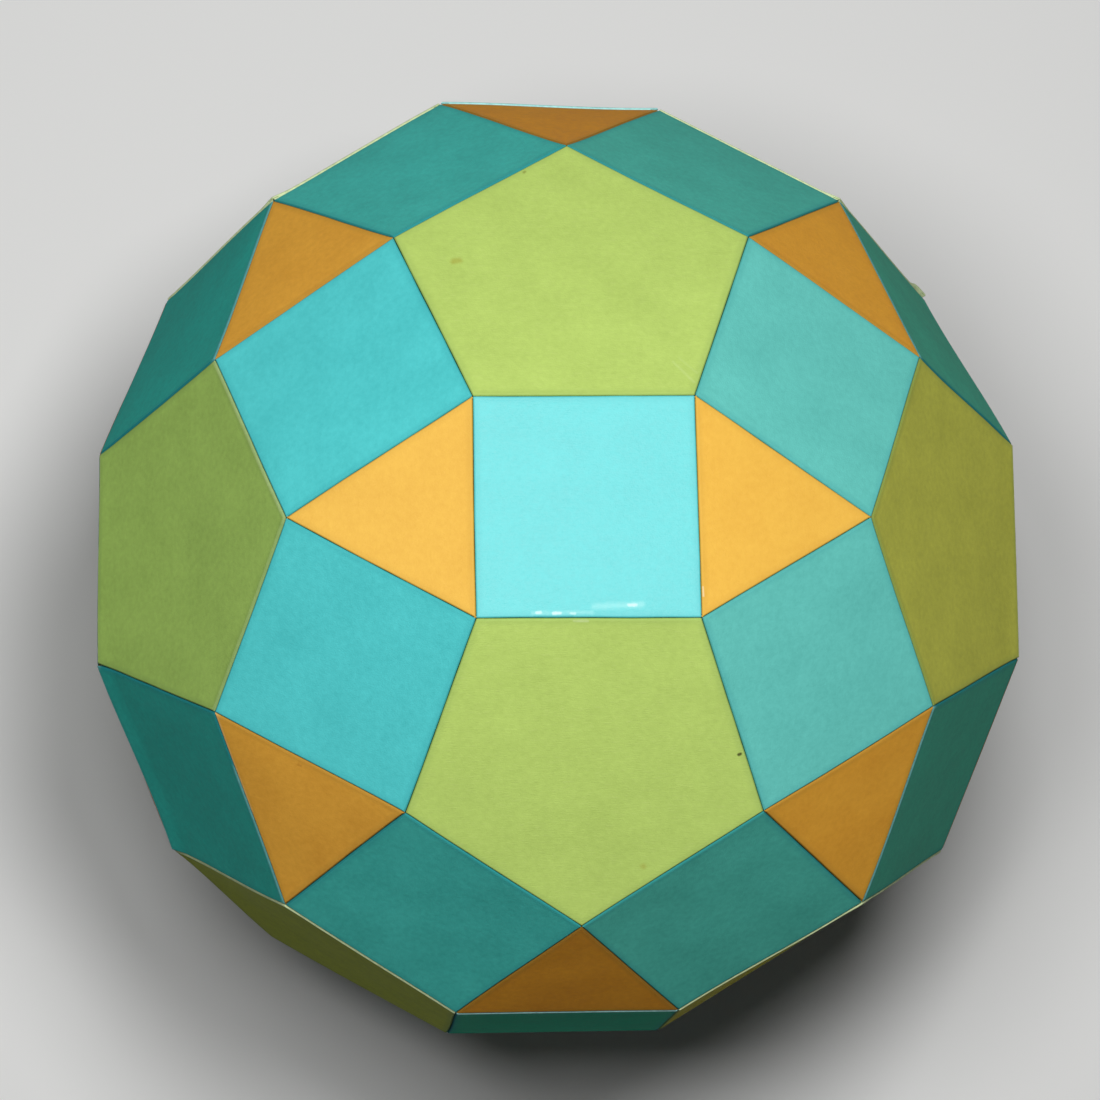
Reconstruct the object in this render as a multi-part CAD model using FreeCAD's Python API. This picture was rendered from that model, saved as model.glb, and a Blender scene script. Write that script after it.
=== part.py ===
"""A paper ball in the form of a rhombicosidodecahedron, glued up from 62 cut and folded sheets of card.

Twelve green pentagons, thirty blue squares and twenty orange triangles share one edge length. Each is a
single sheet: a flat panel with a glue flap folded inwards along each side. Flap is glued to flap inside
every seam, so the ball is hollow, and only the panels and the rounded folds along the seams show outside.

Millimetres. The ball rests on a square. The origin is the middle of that square's outer face, +Z is up,
and the pentagons beside the top square lie towards +Y and -Y.
"""

import FreeCAD, Part
import math
import os

EDGE_LENGTH = 40.0          # side of every panel, from seam to seam
CARD_THICKNESS = 0.3
FOLD_LOOSENESS = 0.15       # by how much the outside radius of a fold is more than the card's thickness
FLAP_DEPTH = 7.0            # from the seam to the flap's free edge
FLAP_END_ANGLE = 50.0       # degrees between the seam and the cut end of a flap
GLUE_FILM = 0.1             # glue between the two flaps of a seam

GOLDEN_RATIO = (1.0 + math.sqrt(5.0)) / 2.0
BALL_RADIUS = EDGE_LENGTH * math.sqrt(11.0 + 4.0 * math.sqrt(5.0)) / 2.0   # from its middle to a corner
FOLD_RADIUS = CARD_THICKNESS + FOLD_LOOSENESS   # outside a fold; its score leaves the inside sharp
UP = FreeCAD.Vector(0.0, 0.0, 1.0)
ALONG_SIDE = FreeCAD.Vector(0.0, 1.0, 0.0)      # along the side towards +X of a sheet not yet placed


class PanelShape:
    """The sizes of one regular panel, and where its outer face lies from the middle of the ball."""

    def __init__(self, sides):
        self.sides = sides
        self.half_corner = math.pi / sides
        corner_to_middle = EDGE_LENGTH / 2.0 / math.sin(self.half_corner)
        self.side_to_middle = EDGE_LENGTH / 2.0 / math.tan(self.half_corner)
        self.height = math.sqrt(BALL_RADIUS ** 2 - corner_to_middle ** 2)

        # The seam plane holds the panel's side and the middle of the ball.
        self.seam = FreeCAD.Vector(self.side_to_middle, 0.0, self.height)
        self.along_flap = FreeCAD.Vector(-self.side_to_middle, 0.0, -self.height).normalize()
        self.outwards = FreeCAD.Vector(self.height, 0.0, -self.side_to_middle).normalize()

        self.fold_centre = self.below_face_and_flap(FOLD_RADIUS)
        self.inside_corner = self.below_face_and_flap(CARD_THICKNESS)

    def below_face_and_flap(self, depth):
        """The section's point this deep under the panel's outer face and behind the flap's glued side."""
        behind_seam = depth + GLUE_FILM / 2.0
        to_seam = (behind_seam * self.seam.Length + depth * self.side_to_middle) / self.height
        return FreeCAD.Vector(self.side_to_middle - to_seam, 0.0, self.height - depth)

    def width_at(self, distance):
        """Half the width between two corner lines, at this distance from the panel's middle."""
        return distance * math.tan(self.half_corner)


def line(start, end):
    return Part.LineSegment(start, end).toShape()


def polygon_face(points):
    return Part.Face(Part.makePolygon(points + points[:1]))


def flat_panel(shape):
    """The flat middle of a sheet, as far as the start of the folds."""
    corner_distance = shape.fold_centre.x / math.cos(shape.half_corner)
    corners = []
    for number in range(shape.sides):
        angle = (2 * number + 1) * shape.half_corner
        corners.append(FreeCAD.Vector(corner_distance * math.cos(angle), corner_distance * math.sin(angle),
                                      shape.height - CARD_THICKNESS))
    return polygon_face(corners).extrude(UP * CARD_THICKNESS)


def corner_wedge(shape):
    """The space between the two corner lines of the side that lies towards +X."""
    reach = 2.0 * shape.side_to_middle
    half_width = shape.width_at(reach)
    return polygon_face([
        FreeCAD.Vector(0.0, 0.0, 0.0),
        FreeCAD.Vector(reach, -half_width, 0.0),
        FreeCAD.Vector(reach, half_width, 0.0),
    ]).extrude(UP * 2.0 * shape.height)


def fold(shape):
    """The rounded fold along the side that lies towards +X, mitred at the panel's corners."""
    face_end = shape.fold_centre + UP * FOLD_RADIUS
    middle = shape.fold_centre + (UP + shape.outwards).normalize() * FOLD_RADIUS
    flap_end = shape.fold_centre + shape.outwards * FOLD_RADIUS
    panel_back = face_end - UP * CARD_THICKNESS
    flap_back = flap_end - shape.outwards * CARD_THICKNESS
    section = Part.Face(Part.Wire([
        Part.Arc(face_end, middle, flap_end).toShape(),
        line(flap_end, flap_back),
        line(flap_back, shape.inside_corner),
        line(shape.inside_corner, panel_back),
        line(panel_back, face_end),
    ]))
    section.translate(ALONG_SIDE * -EDGE_LENGTH)
    return section.extrude(ALONG_SIDE * 2.0 * EDGE_LENGTH).common(corner_wedge(shape))


def flap(shape):
    """The flat flap below that fold, cut slanting at its two ends so that it clears the flaps beside it."""
    flap_back = shape.fold_centre + shape.outwards * (FOLD_RADIUS - CARD_THICKNESS)
    base_width = shape.width_at(flap_back.x)
    base_depth = (shape.fold_centre - shape.seam).dot(shape.along_flap)
    tip_depth = base_depth + base_width * math.tan(math.radians(FLAP_END_ANGLE))

    def at(depth, width):
        glued_side = shape.seam - shape.outwards * (GLUE_FILM / 2.0)
        return glued_side + shape.along_flap * depth + ALONG_SIDE * width

    full_width = polygon_face([at(base_depth, -base_width), at(base_depth, base_width),
                               at(FLAP_DEPTH, base_width), at(FLAP_DEPTH, -base_width)])
    between_cuts = polygon_face([at(base_depth, -base_width), at(base_depth, base_width), at(tip_depth, 0.0)])
    return full_width.common(between_cuts).Faces[0].extrude(shape.outwards * -CARD_THICKNESS)


def folded_sheet(sides):
    """One whole sheet, a panel with its folded flaps, face up above the middle of the ball."""
    shape = PanelShape(sides)
    bent_parts = []
    for bent_part in (fold(shape), flap(shape)):
        for number in range(sides):
            turned = bent_part.copy()
            turned.rotate(FreeCAD.Vector(), UP, math.degrees(2 * number * shape.half_corner))
            bent_parts.append(turned)
    sheet = flat_panel(shape).multiFuse(bent_parts).removeSplitter()
    assert sheet.isValid() and len(sheet.Solids) == 1, f"the {sides}-sided sheet isn't one sound solid"
    return sheet.Solids[0]


def signed(values):
    """A point with every choice of sign for each coordinate that isn't zero."""
    points = [()]
    for value in values:
        points = [point + (sign * value,) for point in points for sign in ((1, -1) if value else (1,))]
    return points


def turned_round(values):
    """The three cyclic orders of a point's coordinates."""
    x, y, z = values
    return [(x, y, z), (y, z, x), (z, x, y)]


def directions(*families):
    """Unit vectors for families of points, each with all its signs and cyclic orders."""
    found = {point for family in families for order in turned_round(family) for point in signed(order)}
    return [FreeCAD.Vector(*point).normalize() for point in found]


def ball_corners():
    """The sixty corners of the ball about its middle."""
    g = GOLDEN_RATIO
    families = [(1.0, 1.0, g ** 3), (g, g ** 2, 2.0 * g), (0.0, 2.0 + g, g ** 2)]
    return [direction * BALL_RADIUS for direction in directions(*families)]


def height_then_bearing(normal):
    """Sorts sheets from the bottom of the ball up, and anticlockwise from +X within a tier."""
    bearing = round(math.degrees(math.atan2(normal.y, normal.x)), 3) % 360.0
    return round(normal.z, 6), bearing


def facing(normal, sides, corners):
    """The turn that faces an upward sheet along normal, with its side towards +X over a seam."""
    own = sorted(corners, key=lambda corner: -corner.dot(normal))[:sides]
    first = own[0]
    second = min(own[1:], key=lambda corner: corner.distanceToPoint(first))
    panel_middle = normal * first.dot(normal)
    to_side = ((first + second) / 2.0 - panel_middle).normalize()
    return FreeCAD.Rotation(to_side, normal.cross(to_side), normal, "ZXY")


def place_all(sides, normals):
    """Every sheet with this many sides, in its place on the ball, from the bottom up."""
    sheet = folded_sheet(sides)
    corners = ball_corners()
    resting_square = PanelShape(4)
    ball_middle = UP * resting_square.height
    placed = []
    for normal in sorted(normals, key=height_then_bearing):
        copy = sheet.copy()
        copy.Placement = FreeCAD.Placement(ball_middle, facing(normal, sides, corners))
        placed.append(copy)
    return placed


def numbered(name, sheets, first=1):
    """One node for each sheet, numbered from the bottom of the ball up."""
    return {f"{name}_{number:02d}": sheet for number, sheet in enumerate(sheets, first)}


def build_ball():
    """All the nodes of the ball by name: one sheet each, but for two pairs of triangles."""
    g = GOLDEN_RATIO
    pentagons = place_all(5, directions((0.0, 1.0, g)))
    squares = place_all(4, directions((0.0, 0.0, 1.0), (1.0, 1.0 / g, g)))
    triangles = place_all(3, directions((1.0, 1.0, 1.0), (1.0 / g, 0.0, g)))
    nodes = numbered("green_pentagon", pentagons)
    nodes.update(numbered("blue_square", squares))
    nodes.update(numbered("orange_triangle", triangles[2:-2], first=3))
    nodes["orange_triangles_beside_bottom_square"] = Part.makeCompound(triangles[:2])
    nodes["orange_triangles_beside_top_square"] = Part.makeCompound(triangles[-2:])
    return nodes


def main():
    os.makedirs("parts", exist_ok=True)
    for name, shape in build_ball().items():
        shape.exportStep(f"parts/{name}.step")


main()
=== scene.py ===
"""Dresses the paper ball: every sheet of card with its folds, its finish and the marks of its making."""
import logging
import math
import random
from dataclasses import dataclass, field
from enum import Enum
from typing import ClassVar

import bmesh
import bpy
from mathutils import Matrix, Vector, noise


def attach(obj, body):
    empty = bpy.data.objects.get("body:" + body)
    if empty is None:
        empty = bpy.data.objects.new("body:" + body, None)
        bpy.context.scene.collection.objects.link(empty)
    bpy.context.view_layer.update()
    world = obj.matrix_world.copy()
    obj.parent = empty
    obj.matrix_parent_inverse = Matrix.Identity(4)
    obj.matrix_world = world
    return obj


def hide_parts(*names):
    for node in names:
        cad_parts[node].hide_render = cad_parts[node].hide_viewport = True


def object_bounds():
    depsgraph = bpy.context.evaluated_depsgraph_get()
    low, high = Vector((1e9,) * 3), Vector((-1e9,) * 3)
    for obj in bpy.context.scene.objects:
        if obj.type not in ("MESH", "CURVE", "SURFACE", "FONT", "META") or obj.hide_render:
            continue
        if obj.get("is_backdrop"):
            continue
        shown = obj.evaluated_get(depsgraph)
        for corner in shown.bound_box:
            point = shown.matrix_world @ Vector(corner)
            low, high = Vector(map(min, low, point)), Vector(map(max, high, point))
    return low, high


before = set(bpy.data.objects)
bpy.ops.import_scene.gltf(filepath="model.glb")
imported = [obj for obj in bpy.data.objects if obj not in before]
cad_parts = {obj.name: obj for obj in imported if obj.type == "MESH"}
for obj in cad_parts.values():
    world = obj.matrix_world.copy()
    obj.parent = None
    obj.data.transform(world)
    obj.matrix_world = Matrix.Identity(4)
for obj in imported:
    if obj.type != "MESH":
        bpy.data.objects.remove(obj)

MM = 0.001
GOLDEN_RATIO = (1.0 + math.sqrt(5.0)) / 2.0
HALF = 0.5               # the middle of what noise and fading run over
LEVEL = 0.99             # the rise of a normal from which its sheet counts as level
TOUCHING = 1e-6          # vertices this near each other are one
HAIR = 1e-7              # less than this is no distance
ON_PLANE = 1e-8          # vertices this near a cut lie on it
TIE = 1e-5               # makes the first of two sides that are equally near the nearest
SAME_PLACE = 0.1 * MM
SHARP_ANGLE = math.radians(35.0)
UP = Vector((0.0, 0.0, 1.0))
ALONG_SIDE = Vector((0.0, 1.0, 0.0))
WANDER_START = Vector((7.3, 1.9, 4.1))
EVERYTHING = "root"
LOG = logging.getLogger("paper_ball")
Colour = tuple[float, float, float]
Pixel = tuple[float, float]


class Panel(Enum):
    """The three kinds of sheet: number of sides, stem of the node names and material slot."""

    PENTAGON = (5, "green_pentagon", "green_card")
    SQUARE = (4, "blue_square", "blue_card")
    TRIANGLE = (3, "orange_triangle", "orange_card")

    @property
    def sides(self) -> int:
        """How many sides the panel has."""
        return self.value[0]

    @property
    def stem(self) -> str:
        """What the names of its nodes begin with."""
        return self.value[1]

    @property
    def slot(self) -> str:
        """The material slot that its card takes."""
        return self.value[2]


PENTAGON, SQUARE, TRIANGLE = Panel

@dataclass(frozen=True)
class Card:
    """Sizes of the card, its scored folds and its glue flaps, in metres and degrees."""

    thickness: float = 0.3 * MM
    fold_looseness: float = 0.03 * MM
    flap_depth: float = 7.0 * MM
    flap_end_angle: float = 50.0
    glue_film: float = 0.1 * MM
    corner_cut: float = 0.2 * MM
    support: float = 0.15 * MM
    fold_steps: int = 7
    panel_rows: int = 11
    flap_rows: int = 3
    columns: int = 26

    @property
    def fold_radius(self) -> float:
        """The outside radius of a fold."""
        return self.thickness + self.fold_looseness


def signed(values: tuple[float, ...]) -> list[tuple[float, ...]]:
    """Gives a point every choice of sign for each coordinate that isn't zero.

    Args:
        values: The point's coordinates.

    Returns:
        All the points.
    """
    points: list[tuple[float, ...]] = [()]
    for value in values:
        points = [point + (sign * value,) for point in points for sign in ((1, -1) if value else (1,))]
    return points


def directions(*families: tuple[float, float, float]) -> list[Vector]:
    """Unit vectors for families of points, each with all its signs and cyclic orders.

    Args:
        families: One point of each family.

    Returns:
        The unit vectors, without repeats.
    """
    found = set()
    for x, y, z in families:
        for order in ((x, y, z), (y, z, x), (z, x, y)):
            found.update(signed(order))
    return [Vector(point).normalized() for point in sorted(found)]


def smooth_step(value: float, low: float, high: float) -> float:
    """Runs smoothly from 0 at low to 1 at high.

    Args:
        value: The number to place between the two.
        low: Where the result leaves 0.
        high: Where it reaches 1.

    Returns:
        A number from 0 to 1.
    """
    part = min(max((value - low) / (high - low), 0.0), 1.0)
    return part * part * (3.0 - 2.0 * part)


def spun(mesh: bmesh.types.BMesh, geometry: list, steps: int, use_duplicate: bool = False,
         **motion: "Vector | float") -> list:
    """Turns or draws geometry out in steps.

    Args:
        mesh: The mesh that holds the geometry.
        geometry: What is turned or drawn out.
        steps: The number of equal steps.
        use_duplicate: Whether copies are made, in place of the surface between them.
        motion: The turn's centre and axis, the way of each step, and the angle in all.

    Returns:
        The geometry at the far end.
    """
    made = bmesh.ops.spin(mesh, geom=geometry, steps=steps, space=Matrix.Identity(4), use_merge=False,
                          use_normal_flip=False, use_duplicate=use_duplicate, **motion)
    return made["geom_last"]


@dataclass(frozen=True)
class BallForm:
    """The solid that the sheets make, standing on a square at the row's origin."""

    side: float
    families: ClassVar[dict[Panel, tuple]] = {
        PENTAGON: ((0.0, 1.0, GOLDEN_RATIO),),
        SQUARE: ((0.0, 0.0, 1.0), (1.0, 1.0 / GOLDEN_RATIO, GOLDEN_RATIO)),
        TRIANGLE: ((1.0, 1.0, 1.0), (1.0 / GOLDEN_RATIO, 0.0, GOLDEN_RATIO)),
    }

    @classmethod
    def from_box(cls, low: Vector, high: Vector) -> "BallForm":
        """Works the side out from the height of the ball, which is the golden ratio cubed sides.

        Args:
            low: The lowest corner of the ball's box.
            high: The highest corner.

        Returns:
            The form that fills the box.
        """
        return cls((high.z - low.z) / GOLDEN_RATIO ** 3)

    @property
    def radius(self) -> float:
        """The distance from the middle of the ball to a corner."""
        return self.side * math.sqrt(11.0 + 4.0 * math.sqrt(5.0)) / 2.0

    @property
    def middle(self) -> Vector:
        """The middle of the ball."""
        return UP * self.panel_distance(SQUARE)

    def panel_distance(self, panel: Panel) -> float:
        """The distance from the middle of the ball to a panel's outer face."""
        corner_to_middle = self.side / 2.0 / math.sin(math.pi / panel.sides)
        return math.sqrt(self.radius ** 2 - corner_to_middle ** 2)

    def corners(self) -> list[Vector]:
        """The sixty corners, about the middle of the ball."""
        g = GOLDEN_RATIO
        families = ((1.0, 1.0, g ** 3), (g, g ** 2, 2.0 * g), (0.0, 2.0 + g, g ** 2))
        return [direction * self.radius for direction in directions(*families)]

    def normals(self, panel: Panel) -> list[Vector]:
        """The outward normals of one kind of panel, from the bottom up and anticlockwise from +X.

        Args:
            panel: The kind of panel.

        Returns:
            The normals, in the order of the nodes' numbers.
        """
        def height_then_bearing(normal: Vector) -> tuple[float, float]:
            """The sorting key: the height, and then the bearing from +X."""
            bearing = round(math.degrees(math.atan2(normal.y, normal.x)), 3) % 360.0
            return round(normal.z, 5), bearing
        return sorted(directions(*self.families[panel]), key=height_then_bearing)

    def own_corners(self, panel: Panel, normal: Vector) -> list[Vector]:
        """The corners of one panel, about the middle of the ball."""
        return sorted(self.corners(), key=lambda corner: -corner.dot(normal))[:panel.sides]

    def placement(self, panel: Panel, normal: Vector) -> Matrix:
        """Where a sheet goes that was made face up, with one side towards +X.

        Args:
            panel: The kind of panel.
            normal: The way that the panel faces.

        Returns:
            The matrix that takes the sheet from the middle of the ball to its place.
        """
        own = self.own_corners(panel, normal)
        first = own[0]
        second = min(own[1:], key=lambda corner: (corner - first).length)
        panel_middle = normal * first.dot(normal)
        to_side = ((first + second) / 2.0 - panel_middle).normalized()
        turn = Matrix((to_side, normal.cross(to_side), normal)).transposed().to_4x4()
        return Matrix.Translation(self.middle) @ turn


@dataclass(frozen=True)
class Slip:
    """How far one corner of the ball was glued from its true place."""

    corner: Vector
    shift: Vector


@dataclass(frozen=True)
class HandMade:
    """How far the hands that made the ball missed its true form."""

    slips: tuple[Slip, ...] = ()
    # The way that sheets turn to take the warm-lit colour: painted warm light on that side of the ball.
    faded_side: Vector = field(default_factory=lambda: Vector((1.0, 0.0, 0.0)))
    wander: float = 0.45 * MM
    wander_length: float = 55.0 * MM
    still_bottom: float = 1.0 * MM
    flat_bottom: float = 25.0 * MM
    bow: float = 0.35 * MM
    ripple: float = 0.06 * MM
    ripple_length: float = 9.0 * MM
    seam_waver: float = 0.04 * MM
    seam_waver_length: float = 6.0 * MM
    seam_zone: tuple[float, float] = (0.8, 0.95)
    bow_range: tuple[float, float] = (-0.6, 1.0)
    gloss_range: tuple[float, float] = (0.0, 0.35)
    places_range: tuple[float, float] = (-50.0, 50.0)
    ripple_zone: float = 6.0
    seed: int = 62

    def wander_at(self, point: Vector) -> Vector:
        """The small wander of a point, which dies away towards the floor."""
        fade = smooth_step(point.z, self.still_bottom, self.flat_bottom)
        return noise.noise_vector(point / self.wander_length + WANDER_START) * self.wander * fade

    def near(self, point: Vector, side: float) -> list[Slip]:
        """The slips of the corners within two sides of a point."""
        return [slip for slip in self.slips if (slip.corner - point).length < 2.0 * side]

    def shift(self, point: Vector, slips: list[Slip], side: float) -> Vector:
        """The whole shift of a point of the ball, the same for all the sheets that meet there.

        Args:
            point: The point in the row's frame.
            slips: The slips of the corners near by, each of which fades out over one side.
            side: The length of a side.

        Returns:
            How far the point lies from its true place.
        """
        total = self.wander_at(point)
        for slip in slips:
            total += slip.shift * smooth_step((slip.corner - point).length, side, 0.0)
        return total


@dataclass
class SheetForm:
    """One kind of sheet, made face up above the middle of the ball with one side towards +X."""

    panel: Panel
    ball: BallForm
    card: Card
    half_corner: float = field(init=False)
    side_distance: float = field(init=False)
    height: float = field(init=False)
    turn: float = field(init=False)
    seam: Vector = field(init=False)
    along_flap: Vector = field(init=False)
    outwards: Vector = field(init=False)
    fold_centre: Vector = field(init=False)

    def __post_init__(self) -> None:
        """Works out the panel's sizes, and the direction of its flaps."""
        self.half_corner = math.pi / self.panel.sides
        self.side_distance = self.ball.side / 2.0 / math.tan(self.half_corner)
        self.height = self.ball.panel_distance(self.panel)
        self.seam = Vector((self.side_distance, 0.0, self.height))
        self.along_flap = -self.seam.normalized()
        self.outwards = Vector((self.height, 0.0, -self.side_distance)).normalized()
        self.fold_centre = self.below_face_and_flap(self.card.fold_radius)
        self.turn = math.acos(self.outwards.z)

    def below_face_and_flap(self, depth: float) -> Vector:
        """The section's point this deep under the panel's outer face and behind the flap's glued side."""
        behind_seam = depth + self.card.glue_film / 2.0
        to_seam = (behind_seam * self.seam.length + depth * self.side_distance) / self.height
        return Vector((self.side_distance - to_seam, 0.0, self.height - depth))

    def side_directions(self) -> list[Vector]:
        """The directions from the panel's middle to the middles of its sides."""
        angles = (2.0 * number * self.half_corner for number in range(self.panel.sides))
        return [Matrix.Rotation(angle, 3, "Z") @ Vector((1.0, 0.0, 0.0)) for angle in angles]

    def section(self, mesh: bmesh.types.BMesh) -> None:
        """Draws the sheet's outer line from the panel's middle, round the fold and down the flap.

        Args:
            mesh: An empty mesh, which gets the line.
        """
        start = bmesh.ops.create_vert(mesh, co=UP * self.height)["vert"]
        drawn = self.draw_on(mesh, start, Vector((self.fold_centre.x - self.card.support, 0.0, 0.0)),
                             self.card.panel_rows)
        drawn = self.draw_on(mesh, drawn, Vector((self.card.support, 0.0, 0.0)), 1)
        arc_end = spun(mesh, drawn, self.card.fold_steps, cent=self.fold_centre, axis=ALONG_SIDE,
                       dvec=Vector(), angle=self.turn)
        depth = (self.fold_centre - self.seam).dot(self.along_flap)
        flap_length = self.card.flap_depth - depth - self.card.support
        drawn = self.draw_on(mesh, arc_end, self.along_flap * self.card.support, 1)
        self.draw_on(mesh, drawn, self.along_flap * flap_length, self.card.flap_rows)

        bend = mesh.verts.layers.float.new("bend")
        from_fold = mesh.verts.layers.float.new("from_fold")
        for vertex in mesh.verts:
            on_panel = self.fold_centre.x - vertex.co.x
            on_flap = (vertex.co - self.fold_centre).dot(self.along_flap)
            turned = (vertex.co - self.fold_centre).angle(UP) / self.turn
            vertex[bend] = 0.0 if on_panel > HAIR else 1.0 if on_flap > HAIR else turned
            vertex[from_fold] = max(on_panel, 0.0)

    @staticmethod
    def draw_on(mesh: bmesh.types.BMesh, geometry: list, way: Vector, steps: int) -> list:
        """Draws vertices out into lines, or lines into faces, in a straight way.

        Args:
            mesh: The mesh that holds the geometry.
            geometry: What is drawn out.
            way: How far it goes in all.
            steps: The number of equal steps.

        Returns:
            The geometry at the far end.
        """
        return spun(mesh, geometry, steps, cent=Vector(), axis=UP, dvec=way / steps, angle=0.0)

    def wedge(self) -> bmesh.types.BMesh:
        """The part of the sheet that belongs to one side: a slice of the panel, a fold and a flap.

        Returns:
            A mesh of the outer surface.
        """
        mesh = bmesh.new()
        self.section(mesh)
        half = self.ball.side / 2.0
        bmesh.ops.translate(mesh, verts=mesh.verts, vec=ALONG_SIDE * -half)
        self.draw_on(mesh, [*mesh.verts, *mesh.edges], ALONG_SIDE * 2.0 * half, self.card.columns)
        for way in (1.0, -1.0):
            mitre = Vector((-math.sin(self.half_corner), way * math.cos(self.half_corner), 0.0))
            self.cut(mesh, mesh.faces[:], Vector(), mitre)
            corner_way = Vector((math.cos(self.half_corner), way * math.sin(self.half_corner), 0.0))
            corner_distance = self.side_distance / math.cos(self.half_corner) - self.card.corner_cut
            self.cut(mesh, mesh.faces[:], corner_way * corner_distance, corner_way)
            self.cut_flap_end(mesh, way)
        return mesh

    def cut_flap_end(self, mesh: bmesh.types.BMesh, way: float) -> None:
        """Cuts one end of the flap slanting, from the corner of the fold inwards.

        Args:
            mesh: The wedge.
            way: 1 for the end towards +Y and -1 for the other.
        """
        back = self.fold_centre + self.outwards * (self.card.fold_radius - self.card.thickness)
        flap_top = self.fold_centre + self.outwards * self.card.fold_radius
        corner = flap_top + ALONG_SIDE * way * back.x * math.tan(self.half_corner)
        angle = math.radians(self.card.flap_end_angle)
        slant = self.along_flap * math.sin(angle) - ALONG_SIDE * way * math.cos(angle)
        outer = slant.cross(self.outwards)
        if outer.y * way < 0.0:
            outer.negate()
        lowest = (flap_top - self.seam).dot(self.along_flap) + HAIR
        below = [face for face in mesh.faces
                 if (face.calc_center_median() - self.seam).dot(self.along_flap) > lowest]
        self.cut(mesh, below, corner, outer)

    @staticmethod
    def cut(mesh: bmesh.types.BMesh, faces: list[bmesh.types.BMFace], point: Vector, outer: Vector) -> None:
        """Cuts faces along a plane and drops what lies beyond it.

        Args:
            mesh: The mesh that the faces are in.
            faces: What may be cut.
            point: A point of the plane.
            outer: The plane's normal, towards what is dropped.
        """
        edges = dict.fromkeys(edge for face in faces for edge in face.edges)
        verts = dict.fromkeys(vert for face in faces for vert in face.verts)
        bmesh.ops.bisect_plane(mesh, geom=[*faces, *edges, *verts], dist=ON_PLANE, plane_co=point,
                               plane_no=outer, clear_outer=True)

    def surface(self) -> bmesh.types.BMesh:
        """The whole outer surface of a perfect sheet, all its wedges joined at the mitres."""
        mesh = self.wedge()
        turns = self.panel.sides - 1
        spun(mesh, [*mesh.verts, *mesh.edges, *mesh.faces], turns, cent=Vector(), axis=UP, dvec=Vector(),
             angle=2.0 * self.half_corner * turns, use_duplicate=True)
        bmesh.ops.remove_doubles(mesh, verts=mesh.verts, dist=TOUCHING)
        bmesh.ops.delete(mesh, geom=[edge for edge in mesh.edges if not edge.link_faces], context="EDGES")
        bmesh.ops.recalc_face_normals(mesh, faces=mesh.faces)
        mesh.normal_update()
        middle = min(mesh.faces, key=lambda face: face.calc_center_median().xy.length)
        if middle.normal.z < 0.0:
            bmesh.ops.reverse_faces(mesh, faces=mesh.faces)
        return mesh


@dataclass(frozen=True)
class WornFold:
    """A fold of one sheet whose crest is painted pale, as scuffed card and painted highlight, and which may
    stand a little proud of the sheet beside it.
    """

    start: Vector
    end: Vector
    panel: Panel
    wear: float
    proud: float
    proud_width: float
    wear_width: float = 1.2 * MM

    def belongs_to(self, sheet: "SheetPiece", normal: Vector) -> bool:
        """Whether the fold is one of this sheet's own."""
        height = sheet.ball.panel_distance(self.panel)
        middle = (self.start + self.end) / 2.0 - sheet.ball.middle
        return self.panel is sheet.panel and abs(middle.dot(normal) - height) < SAME_PLACE

    def distance(self, point: Vector) -> float:
        """How far a point is from the line of the fold."""
        along = self.end - self.start
        part = min(max((point - self.start).dot(along) / along.length_squared, 0.0), 1.0)
        return (point - self.start - along * part).length

    def wear_at(self, distance: float) -> float:
        """How pale the card is painted at this distance from the fold, as scuffed card and painted
        highlight.
        """
        return self.wear * smooth_step(distance, self.wear_width, self.wear_width / 2.0)

    def proud_at(self, distance: float) -> float:
        """How far the card stands proud at this distance from the fold."""
        return self.proud * smooth_step(distance, self.proud_width, 0.0)


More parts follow.
